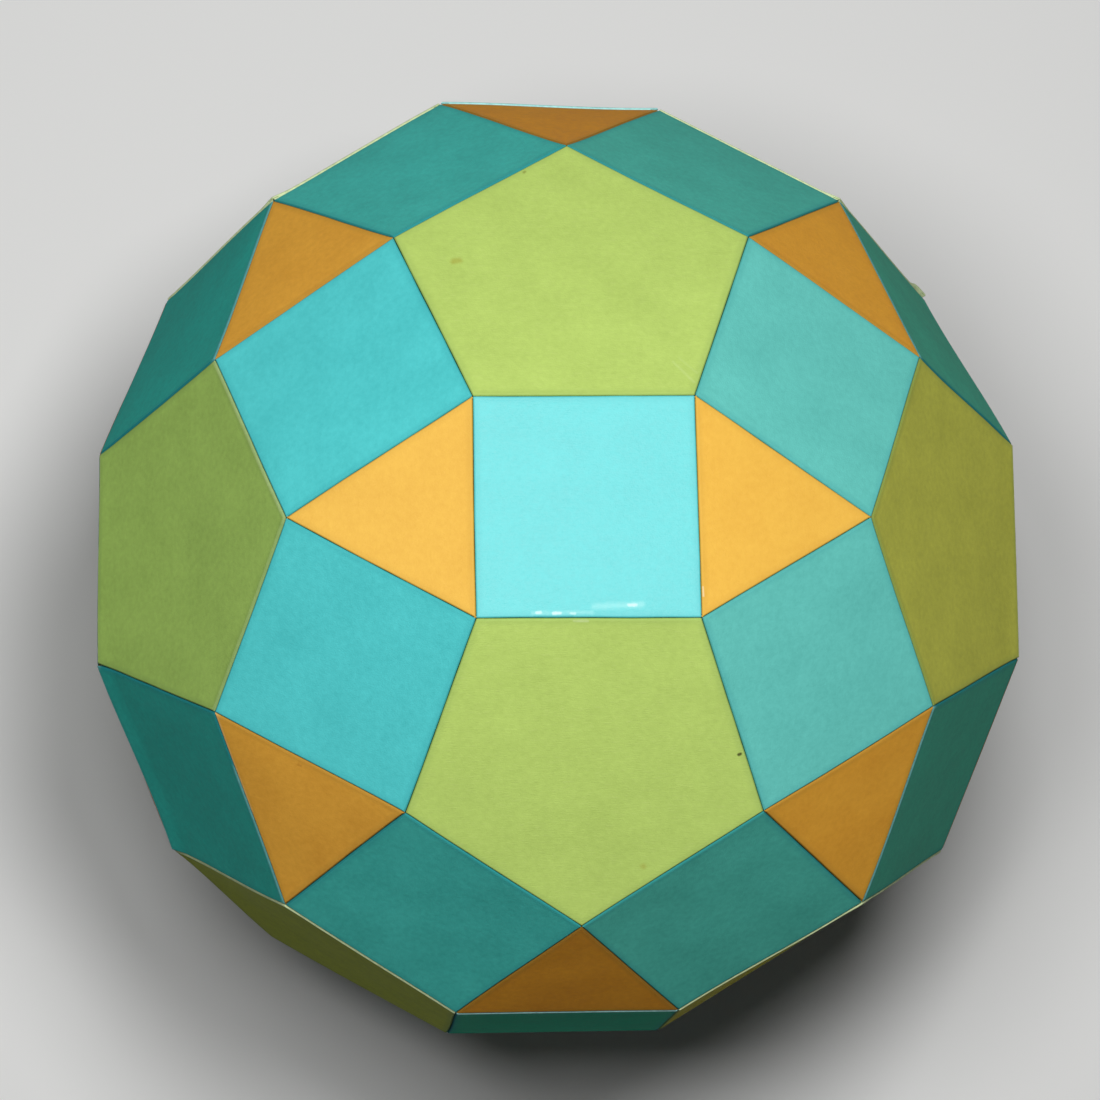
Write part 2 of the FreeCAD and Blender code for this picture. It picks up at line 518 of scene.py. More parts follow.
@dataclass
class SheetPiece:
    """The dressed piece of one node: one folded sheet, or two that share a node."""

    node: str
    panel: Panel
    normals: list[Vector]
    form: SheetForm
    ball: BallForm
    hands: HandMade
    worn: tuple[WornFold, ...] = ()

    def build(self, surface: bmesh.types.BMesh, material: bpy.types.Material) -> bpy.types.Object:
        """Makes the piece, with its card's thickness and its maker's small errors.

        Args:
            surface: The outer surface of a perfect sheet of this kind, face up.
            material: The finish of its card.

        Returns:
            The piece, which stands for its node.
        """
        data = bpy.data.meshes.new(f"{self.node}_card")
        whole = bmesh.new()
        for number, normal in enumerate(self.normals):
            sheet = surface.copy()
            self.settle(sheet, normal, random.Random(f"{self.node} {number}"))
            bmesh.ops.transform(sheet, matrix=self.ball.placement(self.panel, normal), verts=sheet.verts)
            self.glue_in_place(sheet, normal)
            sheet.normal_update()
            bmesh.ops.solidify(sheet, geom=sheet.faces[:], thickness=self.form.card.thickness)
            sheet.to_mesh(data)
            sheet.free()
            whole.from_mesh(data)
        for face in whole.faces:
            face.smooth = True
        whole.to_mesh(data)
        whole.free()
        data.set_sharp_from_angle(angle=SHARP_ANGLE)
        data.materials.append(material)
        piece = bpy.data.objects.new(f"{self.node}_card", data)
        bpy.context.scene.collection.objects.link(piece)
        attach(piece, EVERYTHING)
        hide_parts(self.node)
        return piece

    def glue_in_place(self, sheet: bmesh.types.BMesh, normal: Vector) -> None:
        """Moves the placed sheet as the hands that glued it did, and marks its pale folds, painted as
        scuffed card and painted highlight.

        Args:
            sheet: The sheet in its place on the ball.
            normal: The way that it faces.
        """
        slips = self.hands.near(self.ball.middle + normal * self.form.height, self.ball.side)
        worn = [fold for fold in self.worn if fold.belongs_to(self, normal)]
        paleness_layer = sheet.verts.layers.float.new("fold_paleness")
        for vertex in sheet.verts:
            shift = self.hands.shift(vertex.co, slips, self.ball.side)
            for fold in worn:
                distance = fold.distance(vertex.co)
                vertex[paleness_layer] = max(vertex[paleness_layer], fold.wear_at(distance))
                shift += normal * fold.proud_at(distance)
            vertex.co += shift

    def settle(self, sheet: bmesh.types.BMesh, normal: Vector, chance: random.Random) -> None:
        """Bows the panel a little and lets its folds waver, as card does.

        Args:
            sheet: The sheet, face up above the middle of the ball.
            normal: The way that it will face.
            chance: The sheet's own random numbers.
        """
        bow = chance.uniform(*self.hands.bow_range) * self.hands.bow
        if normal.z < -LEVEL:
            bow = -abs(bow)
        tone = chance.uniform(-1.0, 1.0)
        gloss = 1.0 if normal.z > LEVEL else chance.uniform(*self.hands.gloss_range)
        place = Vector([chance.uniform(*self.hands.places_range) for _ in range(3)])
        # How far the sheet turns towards the warm-lit side, which sets its painted warm light.
        fade = HALF + HALF * normal.dot(self.hands.faded_side)
        # How sideways the sheet faces, from 0 on the top and bottom to 1 on the sides: it sets the painted
        # shade on the sides.
        age = 1.0 - min(abs(normal.z), 1.0)
        for name, value in (("tone", tone), ("age", age), ("fade", fade), ("gloss", gloss)):
            layer = sheet.verts.layers.float.new(f"sheet_{name}")
            for vertex in sheet.verts:
                vertex[layer] = value
        ways = self.form.side_directions()
        for vertex in sheet.verts:
            across = [vertex.co.dot(way) / self.form.side_distance for way in ways]
            inside = math.prod(max(0.0, 1.0 - part) for part in across)
            ripple = noise.noise(vertex.co / self.hands.ripple_length + place) * self.hands.ripple
            vertex.co.z += bow * inside + ripple * min(1.0, self.hands.ripple_zone * inside)
            nearest = max(range(len(ways)), key=lambda index: across[index] - index * TIE)
            waver = noise.noise(vertex.co / self.hands.seam_waver_length + place) * self.hands.seam_waver
            vertex.co += ways[nearest] * waver * smooth_step(across[nearest], *self.hands.seam_zone)


class Value:
    """A number or a vector in a material's nodes, which Python's arithmetic adds Math nodes to."""

    def __init__(self, paint: "Nodes", socket: bpy.types.NodeSocket) -> None:
        """Wraps an output socket.

        Args:
            paint: The nodes that it is among.
            socket: The output that carries the value.
        """
        self.paint = paint
        self.socket = socket

    def math(self, operation: str, *others: "Value | float", clamp: bool = False) -> "Value":
        """Adds a Math node.

        Args:
            operation: The node's operation.
            others: Its second and third inputs.
            clamp: Whether the result stays from 0 to 1.

        Returns:
            The result.
        """
        inputs = dict(enumerate((self, *others)))
        return self.paint.node("ShaderNodeMath", {"operation": operation, "use_clamp": clamp}, inputs)

    def __add__(self, other: "Value | float") -> "Value":
        """This plus the other."""
        return self.math("ADD", other)

    __radd__ = __add__

    def __sub__(self, other: "Value | float") -> "Value":
        """This less the other."""
        return self.math("SUBTRACT", other)

    def __rsub__(self, other: float) -> "Value":
        """The other less this."""
        return (self * -1.0) + other

    def __mul__(self, other: "Value | float") -> "Value":
        """This times the other."""
        return self.math("MULTIPLY", other)

    __rmul__ = __mul__

    def between(self, low: float, high: float) -> "Value":
        """Runs smoothly from 0 at low to 1 at high, or down where low is the greater."""
        settings = {"interpolation_type": "SMOOTHSTEP", "data_type": "FLOAT"}
        return self.paint.node("ShaderNodeMapRange", settings, {0: self, 1: low, 2: high, 3: 0.0, 4: 1.0})

    def distance(self, place: "Value | Vector") -> "Value":
        """How far this vector is from a place."""
        return self.paint.vector_math("DISTANCE", {0: self, 1: place}, "Value")

    def distance_from_line(self, start: Vector, end: Vector) -> "Value":
        """How far this vector is from the line between two places.

        Args:
            start: One end of the line.
            end: The other end.

        Returns:
            The distance.
        """
        along = end - start
        ahead = self.paint.vector_math("SUBTRACT", {0: self, 1: start})
        part = self.paint.vector_math("DOT_PRODUCT", {0: ahead, 1: along / along.length_squared}, "Value")
        on_line = part.math("ADD", 0.0, clamp=True)
        nearest = self.paint.vector_math("SCALE", {0: along, "Scale": on_line})
        return ahead.distance(nearest)

    def stretched(self, scale: tuple[float, float, float], turn: tuple[float, float, float]) -> "Value":
        """This vector, turned and stretched by a Mapping node."""
        return self.paint.node("ShaderNodeMapping", {}, {"Vector": self, "Rotation": turn, "Scale": scale})


class Nodes:
    """The nodes of a material or of the world."""

    def __init__(self, tree: bpy.types.NodeTree) -> None:
        """Takes the tree that nodes are added to."""
        self.tree = tree

    def node(self, kind: str, settings: dict, inputs: dict, output: int | str = 0) -> Value:
        """Adds a node, with its settings first and then the values or links of its sockets.

        Args:
            kind: The node's type.
            settings: Its properties by name.
            inputs: Numbers, colours, vectors or values by the socket's name or number.
            output: The name or number of the output that is wanted.

        Returns:
            That output.
        """
        made = self.tree.nodes.new(kind)
        for name, setting in settings.items():
            setattr(made, name, setting)
        for name, given in inputs.items():
            if isinstance(given, Value):
                self.tree.links.new(given.socket, made.inputs[name])
            else:
                made.inputs[name].default_value = given
        return Value(self, made.outputs[output])

    def vector_math(self, operation: str, inputs: dict, output: int | str = 0) -> Value:
        """Adds a Vector Math node."""
        return self.node("ShaderNodeVectorMath", {"operation": operation}, inputs, output)

    def seen(self) -> Value:
        """1 for what the camera sees, straight or by reflection or through glass, and 0 for other light."""
        paths = [self.node("ShaderNodeLightPath", {}, {}, f"Is {kind} Ray")
                 for kind in ("Camera", "Glossy", "Transmission")]
        return paths[0].math("MAXIMUM", paths[1]).math("MAXIMUM", paths[2])


class Paint(Nodes):
    """The nodes of one material."""

    def __init__(self, name: str) -> None:
        """Starts a material with a Principled shader and its output.

        Args:
            name: The material's name.
        """
        self.material = bpy.data.materials.new(name)
        self.material.use_nodes = True
        super().__init__(self.material.node_tree)
        self.shader = self.tree.nodes["Principled BSDF"]

    def place(self) -> Value:
        """The Object coordinates."""
        return self.node("ShaderNodeTexCoord", {}, {}, "Object")

    def attribute(self, name: str) -> Value:
        """A number that the mesh carries on its vertices."""
        return self.node("ShaderNodeAttribute", {"attribute_name": name}, {}, "Fac")

    def noise(self, place: Value, size: float, detail: float = 3.0, roughness: float = 0.5) -> Value:
        """Noise of a given grain.

        Args:
            place: The coordinates.
            size: The width of a blotch in metres.
            detail: How many finer layers it has.
            roughness: How strong they are.

        Returns:
            Numbers about 0.5.
        """
        inputs = {"Vector": place, "Scale": 1.0 / size, "Detail": detail, "Roughness": roughness}
        return self.node("ShaderNodeTexNoise", {"noise_dimensions": "3D"}, inputs)

    def mix(self, factor: Value | float, first: Value | tuple, second: Value | tuple,
            way: str = "MIX") -> Value:
        """Mixes two colours.

        Args:
            factor: 0 for the first and 1 for the second.
            first: The first colour.
            second: The second colour.
            way: How the second colour works on the first.

        Returns:
            The mixed colour.
        """
        colours = {0: factor, 6: opaque(first), 7: opaque(second)}
        settings = {"data_type": "RGBA", "clamp_factor": True, "blend_type": way}
        return self.node("ShaderNodeMix", settings, colours, 2)

    def bump(self, height: Value, distance: float) -> Value:
        """A normal bent by a height that runs from 0 to 1 over a distance in metres."""
        return self.node("ShaderNodeBump", {}, {"Height": height, "Distance": distance, "Strength": 1.0})

    def finish(self, **sockets: "Value | float | tuple") -> bpy.types.Material:
        """Sets the shader's sockets.

        Args:
            sockets: Numbers, colours or values by the socket's name, with _ for a space.

        Returns:
            The material.
        """
        for name, given in sockets.items():
            socket = self.shader.inputs[name.replace("_", " ")]
            if isinstance(given, Value):
                self.tree.links.new(given.socket, socket)
            else:
                socket.default_value = opaque(given) if isinstance(given, tuple) else given
        return self.material


def opaque(colour: Value | tuple) -> Value | tuple:
    """A colour with full alpha, if it is a plain one."""
    return colour if isinstance(colour, Value) or len(colour) == 4 else (*colour, 1.0)


def scaled(colour: Colour, factor: float, milk: float = 0.0) -> Colour:
    """A colour made darker or lighter, with a little white added."""
    return tuple(min(1.0, part * factor + milk) for part in colour)


@dataclass(frozen=True)
class Mark:
    """A spot, stain, scratch, smear, painted glint or painted shade on the card, as wide as its radius about
    a line.
    """

    start: Vector
    end: Vector
    radius: float
    colour: Colour
    strength: float
    softness: float = 0.5
    raggedness: float = 0.9

    def cover(self, place: Value, mottle: Value) -> Value:
        """How much the mark covers the card.

        Args:
            place: The Object coordinates.
            mottle: The card's own fine noise, which frays the mark's edge.

        Returns:
            Numbers from 0 to the mark's strength.
        """
        spot = (self.end - self.start).length < SAME_PLACE
        away = place.distance(self.start) if spot else place.distance_from_line(self.start, self.end)
        ragged = away + (mottle - HALF) * self.radius * self.raggedness
        return ragged.between(self.radius, self.radius * (1.0 - self.softness)) * self.strength


@dataclass(frozen=True)
class CardFinish:
    """Smooth coloured card: dyed pulp with fibres in it, a slight sheen, dirt and painted shade by its
    folds, pale crests of scuffed card and painted highlight, and painted warm light and painted shade by the
    way each sheet faces.
    """

    name: str
    colour: Colour
    # faded: the colour with painted warm light, taken by sheets that face the warm-lit side.
    faded: Colour
    fold_colour: Colour
    fibre_colour: Colour
    # The colour that sideways sheets are multiplied towards: painted shade, darker and deeper on the sides.
    grime: Colour
    milk: float = 0.03
    roughness: float = 0.58
    polish: float = 0.22
    specular: float = 0.15
    cloud_size: float = 9.0 * MM
    mottle_size: float = 1.1 * MM
    fibre_width: float = 0.16 * MM
    fibre_length: float = 1.8 * MM
    fibre_turns: tuple[tuple[float, float, float], ...] = ((0.3, 0.2, 0.5), (1.1, 0.7, 2.2), (0.6, 1.4, 1.3))
    fibre_range: tuple[float, float] = (0.62, 0.80)
    fibre_cover: float = 0.22
    cloud_strength: float = 0.30
    mottle_strength: float = 0.42
    unevenness: float = 0.85
    # The mottle is painted stronger on sheets that face sideways, along with their painted shade.
    unevenness_with_age: float = 1.7
    sheet_difference: float = 0.03
    dark_tone: float = 0.75
    pale_tone: float = 1.25
    # Darkening beside the folds: dirt, and painted shade of the seams, more on sheets that face sideways.
    soiled_width: float = 1.3 * MM
    soil: float = 0.12
    soil_with_age: float = 0.25
    soil_tone: float = 0.40
    shade: float = 0.05
    shade_with_age: float = 1.1
    shade_start: float = 0.30
    shade_tone: float = 0.30
    # Pale fold crests: scuffed card and painted highlight.
    rubbed_edge: tuple[float, float] = (0.35 * MM, 0.10 * MM)
    rubbed_cover: float = 0.95
    soil_patches: tuple[float, float] = (0.65, 0.7)
    rubbed_patches: tuple[float, float] = (0.45, 0.9)
    grain_size: float = 0.32 * MM
    grain_height: float = 0.7
    mottle_height: float = 0.6
    fibre_height: float = 0.6
    relief: float = 0.055 * MM
    mottle_roughness: float = 0.16
    cloud_roughness: float = 0.08
    fold_roughness: float = 0.30
    age_roughness: float = 0.22

    def material(self, marks: list[Mark]) -> bpy.types.Material:
        """Builds the material.

        Args:
            marks: The spots, stains, painted glints and painted shade on sheets of this card.

        Returns:
            The material.
        """
        paint = Paint(self.name)
        place = paint.place()
        clouds = paint.noise(place, self.cloud_size, detail=2.0)
        mottle = paint.noise(place, self.mottle_size, detail=4.0, roughness=0.6)
        stretch = (1.0 / self.fibre_length, 1.0 / self.fibre_width, 1.0 / self.fibre_width)
        fibres = [paint.noise(place.stretched(stretch, turn), 1.0, detail=1.0) for turn in self.fibre_turns]
        fibre = fibres[0].math("MAXIMUM", fibres[1]).math("MAXIMUM", fibres[2])

        age = paint.attribute("sheet_age")
        uneven = (clouds - HALF) * self.cloud_strength + (mottle - HALF) * self.mottle_strength
        tone = uneven * (age * self.unevenness_with_age + self.unevenness)
        tone = tone + paint.attribute("sheet_tone") * self.sheet_difference
        # Sheets that face the warm-lit side are mixed towards the warm-lit colour: painted warm light.
        fade = paint.attribute("sheet_fade")
        dark = paint.mix(fade, scaled(self.colour, self.dark_tone), scaled(self.faded, self.dark_tone))
        pale = paint.mix(fade, scaled(self.colour, self.pale_tone, self.milk),
                         scaled(self.faded, self.pale_tone, self.milk))
        colour = paint.mix(tone + HALF, dark, pale)
        colour = paint.mix(fibre.between(*self.fibre_range) * self.fibre_cover, colour, self.fibre_colour)
        # Sheets that face sideways are multiplied towards the side tint: painted shade.
        colour = paint.mix(age, colour, self.grime, "MULTIPLY")
        colour = self.fold_colours(paint, colour, mottle, age)
        for mark in marks:
            colour = paint.mix(mark.cover(place, mottle), colour, mark.colour)

        grain = paint.noise(place, self.grain_size, detail=3.0, roughness=0.6)
        height = grain * self.grain_height + mottle * self.mottle_height + fibre * self.fibre_height
        roughness = (mottle - HALF) * self.mottle_roughness + (clouds - HALF) * self.cloud_roughness
        roughness = roughness + self.roughness + paint.attribute("bend") * self.fold_roughness
        roughness = roughness + age * self.age_roughness - paint.attribute("sheet_gloss") * self.polish
        return paint.finish(Base_Color=colour, Roughness=roughness, Specular_IOR_Level=self.specular,
                            Normal=paint.bump(height, self.relief))

    def fold_colours(self, paint: Paint, colour: Value, mottle: Value, age: Value) -> Value:
        """Darkens the card beside its folds with dirt and painted shade, paints shade on the folds, and
        paints the crests of some folds pale, as scuffed card and painted highlight.

        Args:
            paint: The material's nodes.
            colour: The colour of the flat card.
            mottle: The card's own fine noise.
            age: How sideways the sheet faces, from 0 to 1, which sets how much painted shade it takes.

        Returns:
            The colour with its folds.
        """
        from_fold = paint.attribute("from_fold")
        # Beside the folds the card is darkened: dirt and painted shade, more on sheets that face sideways.
        least, more = self.soil_patches
        dirt_and_shade_mask = from_fold.between(self.soiled_width, 0.0) * (mottle * more + least)
        dirt_and_shade_mask = dirt_and_shade_mask * (age * self.soil_with_age + self.soil)
        colour = paint.mix(dirt_and_shade_mask, colour, scaled(self.colour, self.soil_tone))
        shaded = paint.attribute("bend").between(0.0, self.shade_start)
        shaded = shaded * (age * self.shade_with_age + self.shade)
        colour = paint.mix(shaded, colour, scaled(self.colour, self.shade_tone))
        # The crests of the marked folds are painted pale: scuffed card and painted highlight.
        pale_crest = paint.attribute("fold_paleness") * from_fold.between(*self.rubbed_edge)
        least, more = self.rubbed_patches
        return paint.mix(pale_crest * (mottle * more + least) * self.rubbed_cover, colour, self.fold_colour)


@dataclass(frozen=True)
class View:
    """The camera that the ball was fitted to, and rays through its picture."""

    ball: BallForm
    picture: int = 1100
    focal_length: float = 8070.0
    distance_in_sides: float = 37.95
    right_in_sides: float = 0.00977
    up_in_sides: float = -0.1104
    right: Vector = field(default_factory=lambda: Vector((0.9971, -0.0175, 0.0738)))
    towards: Vector = field(default_factory=lambda: Vector((-0.0755, -0.1437, 0.9867)))
    sensor: float = 36.0
    behind_rim: float = 0.2

    def axes(self) -> Matrix:
        """The camera's turn, made square."""
        back = self.towards.normalized()
        right = (self.right - back * self.right.dot(back)).normalized()
        return Matrix((right, back.cross(right), back)).transposed()

    def place(self) -> Vector:
        """Where the camera stands."""
        offset = Vector((-self.right_in_sides, -self.up_in_sides, self.distance_in_sides))
        return self.ball.middle + self.axes() @ (offset * self.ball.side)

    def direction(self, pixel: Pixel) -> Vector:
        """The way from the camera through a pixel of its picture.

        Args:
            pixel: Pixels to the right and down from the picture's top left corner.

        Returns:
            A unit vector.
        """
        half = self.picture / 2.0
        ray = Vector((pixel[0] - half, half - pixel[1], -self.focal_length))
        return (self.axes() @ ray).normalized()

    def on_panel(self, pixel: Pixel) -> Vector:
        """Where a pixel's ray meets the nearest panel.

        Args:
            pixel: The pixel.

        Returns:
            The point.
        """
        start = self.place()
        way = self.direction(pixel)
        enters = 0.0
        for panel in Panel:
            for normal in self.ball.normals(panel):
                fall = way.dot(normal)
                reach = self.ball.panel_distance(panel) - (start - self.ball.middle).dot(normal)
                if fall < 0.0:
                    enters = max(enters, reach / fall)
        return start + way * enters

    def corner_at(self, pixel: Pixel) -> Vector:
        """The corner on this side of the ball, or just behind its rim, that is nearest to a pixel's ray."""
        start = self.place()
        way = self.direction(pixel)
        furthest_back = -self.behind_rim * self.ball.radius
        front = [corner for corner in self.ball.corners() if corner.dot(self.towards) > furthest_back]
        return min((self.ball.middle + corner for corner in front),
                   key=lambda corner: (corner - start).cross(way).length)

    def slip_at(self, pixel: Pixel, hands: HandMade) -> Slip:
        """The slip that brings the corner nearest to a pixel exactly there.

        Args:
            pixel: Where the photograph shows the corner.
            hands: The wander that the corner has already.

        Returns:
            The slip, square to the line of sight.
        """
        corner = self.corner_at(pixel)
        way = self.direction(pixel)
        from_camera = corner + hands.wander_at(corner) - self.place()
        return Slip(corner, way * from_camera.dot(way) - from_camera)

    def camera(self) -> bpy.types.Object:
        """Makes the camera and gives it to the scene."""
        data = bpy.data.cameras.new("camera")
        data.sensor_width = self.sensor
        data.lens = self.sensor * self.focal_length / self.picture
        camera = bpy.data.objects.new("camera", data)
        camera.matrix_world = Matrix.Translation(self.place()) @ self.axes().to_4x4()
        bpy.context.scene.collection.objects.link(camera)
        bpy.context.scene.camera = camera
        return camera


@dataclass(frozen=True)
class SoftLamp:
    """A round soft lamp, placed by its direction from the ball as the camera sees it."""

    name: str
    right: float
    up: float
    power: float
    width: float = 0.24
    distance: float = 0.75

    def build(self, view: "View") -> bpy.types.Object:
        """Makes the lamp.

        Args:
            view: The camera's view.

        Returns:
            The lamp, turned to the ball.
        """
        data = bpy.data.lights.new(self.name, "AREA")
        data.shape = "DISK"
        data.size = self.width
        data.energy = self.power
        towards = math.sqrt(1.0 - self.right ** 2 - self.up ** 2)
        way = view.axes() @ Vector((self.right, self.up, towards))
        lamp = bpy.data.objects.new(self.name, data)
        turn = way.to_track_quat("Z", "Y").to_matrix().to_4x4()
        lamp.matrix_world = Matrix.Translation(view.ball.middle + way * self.distance) @ turn
        bpy.context.scene.collection.objects.link(lamp)
        return lamp


@dataclass(frozen=True)
class Studio:
    """A pale floor, two soft lamps near the camera and a weak even light all round."""

    view: View
    lamps: tuple[SoftLamp, ...] = (
        SoftLamp("main_lamp", right=0.146, up=0.26, power=3.34),
        SoftLamp("fill_lamp", right=-0.16, up=0.14, power=2.04),
    )
    world_light: float = 0.03
    backdrop: float = 0.80
    floor_colour: Colour = (0.86, 0.86, 0.85)
    floor_bounce: Colour = (0.05, 0.05, 0.05)
    floor_width: float = 8.0

    def world(self) -> bpy.types.World:
        """Makes the even light, which shows pale to the camera and in reflections."""
        world = bpy.data.worlds.new("studio")
        world.use_nodes = True
        nodes = Nodes(world.node_tree)
        strength = nodes.seen() * (self.backdrop - self.world_light) + self.world_light
        background = world.node_tree.nodes["Background"]
        background.inputs["Color"].default_value = (1.0, 1.0, 1.0, 1.0)
        world.node_tree.links.new(strength.socket, background.inputs["Strength"])
        bpy.context.scene.world = world
        return world

    def floor(self) -> bpy.types.Object:
        """Makes the floor, which is pale to the eye and throws little light back up."""
        mesh = bmesh.new()
        bmesh.ops.create_grid(mesh, x_segments=1, y_segments=1, size=self.floor_width / 2.0)
        data = bpy.data.meshes.new("floor")
        mesh.to_mesh(data)
        mesh.free()
        paint = Paint("floor")
        paint.finish(Base_Color=paint.mix(paint.seen(), self.floor_bounce, self.floor_colour),
                     Roughness=0.9, Specular_IOR_Level=0.0)
        data.materials.append(paint.material)
        floor = bpy.data.objects.new("floor", data)
        bpy.context.scene.collection.objects.link(floor)
        floor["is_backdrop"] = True
        return floor

    def build(self) -> None:
        """Makes the whole studio."""
        self.view.camera()
        for lamp in self.lamps:
            lamp.build(self.view)
        self.world()
        self.floor()
        bpy.context.scene.view_settings.view_transform = "Standard"


# Where the photograph shows the corners of the ball, in pixels to the right and down from its top left.
CORNER_PIXELS = (
    (440.6, 103.5), (658.7, 109.5), (566.7, 144.2), (272.8, 200.0), (839.4, 200.5), (749.2, 235.8),
    (392.9, 236.6), (166.8, 300.6), (920.8, 356.8), (213.8, 359.1), (695.5, 394.4), (472.3, 395.4),
    (1012.4, 444.8), (99.5, 454.5), (872.4, 516.7), (285.1, 517.5), (702.4, 617.8), (475.8, 618.5),
    (1018.8, 658.2), (97.7, 664.6), (934.5, 706.5), (213.5, 712.3), (764.5, 811.6), (404.6, 813.4),
    (173.1, 849.3), (942.1, 850.4), (862.8, 902.5), (284.6, 905.3), (581.7, 927.5), (678.4, 1010.7),
    (456.0, 1014.0), (924.5, 299.5),
)

# Where the corners just behind its left rim have to lie, for the sheets there to stay hidden.
HIDDEN_CORNER_PIXELS = ((101.5, 487.0), (111.5, 697.0))


@dataclass(frozen=True)
class WornPlace:
    """A pale fold as the photograph shows it, painted as scuffed card and painted highlight: its two
    corners' numbers, and the kind of sheet it is in.
    """

    first: int
    second: int
    panel: Panel
    wear: float
    proud: float = 0.0
    proud_width: float = 5.0 * MM
    left_out: float = 0.0

    def fold(self, view: View) -> WornFold:
        """Finds the fold on the ball.

        Args:
            view: The camera's view.

        Returns:
            The fold between the true places of its corners, without the part of it that is left out.
        """
        start = view.corner_at(CORNER_PIXELS[self.first])
        end = view.corner_at(CORNER_PIXELS[self.second])
        return WornFold(start.lerp(end, self.left_out), end, self.panel, self.wear, self.proud,
                        self.proud_width)


class WornPlaces(Enum):
    """The folds that the photograph shows pale, painted as scuffed card and painted highlight, or standing
    over the sheet beside them.

    Each has the numbers of its corners in CORNER_PIXELS, its sheet's kind, its paleness and how proud it is.
    """

    LEFT_PENTAGON_ABOVE = WornPlace(9, 15, PENTAGON, 0.24)
    LEFT_PENTAGON_BELOW = WornPlace(15, 21, PENTAGON, 0.14)
    LOWER_LEFT_SQUARE = WornPlace(21, 27, SQUARE, 0.28, left_out=0.30)
    LOWER_LEFT_TRIANGLE = WornPlace(27, 21, TRIANGLE, 0.45, left_out=0.50)
    UPPER_LEFT_SQUARE = WornPlace(3, 9, SQUARE, 0.24)
    RIGHT_SQUARE = WornPlace(4, 8, SQUARE, 0.20)
    LOWER_RIGHT_SQUARE = WornPlace(20, 26, SQUARE, 0.30)
    RIM_LEFT_PENTAGON = WornPlace(13, 19, PENTAGON, 0.15, 0.25 * MM)
    RIM_LEFT_SQUARE = WornPlace(19, 24, SQUARE, 0.25, 0.40 * MM)
    RIM_RIGHT_PENTAGON = WornPlace(12, 18, PENTAGON, 0.15, 0.25 * MM)
    RIM_LOWER_LEFT = WornPlace(24, 27, PENTAGON, 1.0, 0.10 * MM)
    RIM_BOTTOM_LEFT = WornPlace(27, 30, PENTAGON, 1.0, 0.10 * MM)
    RIM_BOTTOM = WornPlace(30, 29, SQUARE, 1.0, 0.10 * MM)
    RIM_BOTTOM_RIGHT = WornPlace(29, 26, PENTAGON, 1.0, 0.15 * MM)
    RIM_LOWER_RIGHT = WornPlace(26, 25, PENTAGON, 1.0, 0.15 * MM)
    RIM_UPPER_LEFT = WornPlace(7, 3, PENTAGON, 0.9, 0.32 * MM)
    RIM_TOP_LEFT = WornPlace(3, 0, PENTAGON, 0.9, 0.32 * MM)
    RIM_TOP = WornPlace(0, 1, SQUARE, 1.0, 0.42 * MM)
    RIM_TOP_RIGHT = WornPlace(1, 4, PENTAGON, 1.0, 0.30 * MM)
    RIM_UPPER_RIGHT = WornPlace(4, 31, PENTAGON, 0.7, 0.30 * MM)
    LIFTED_CORNER = WornPlace(4, 31, PENTAGON, 1.0, 0.75 * MM, 2.5 * MM, left_out=0.90)


@dataclass(frozen=True)
class MarkPlace:
    """A mark as the photograph shows it: the kind of sheet, its ends and width in pixels, and its look."""

    panel: Panel
    first: Pixel
    second: Pixel
    width: float
    colour: Colour
    strength: float
    softness: float

    def mark(self, view: View) -> Mark:
        """Finds the mark on the ball.

        Args:
            view: The camera's view.

        Returns:
            The mark, on the panel that carries it.
        """
        metres_per_pixel = view.distance_in_sides * view.ball.side / view.focal_length
        return Mark(view.on_panel(self.first), view.on_panel(self.second),
                    self.width / 2.0 * metres_per_pixel, self.colour, self.strength, self.softness)


# Colours that more than one mark has.
SCRATCHED_GREEN = (0.66, 0.82, 0.34)
# Pale blue of the glue smears: partly glue, partly painted sheen.
GLUE_AND_SHEEN_BLUE = (0.50, 0.92, 0.90)
# Colours of painted glints: highlights of light on the glue.
DULL_GLINT = (0.80, 0.97, 0.95)
BRIGHT_GLINT = (0.90, 1.0, 0.98)


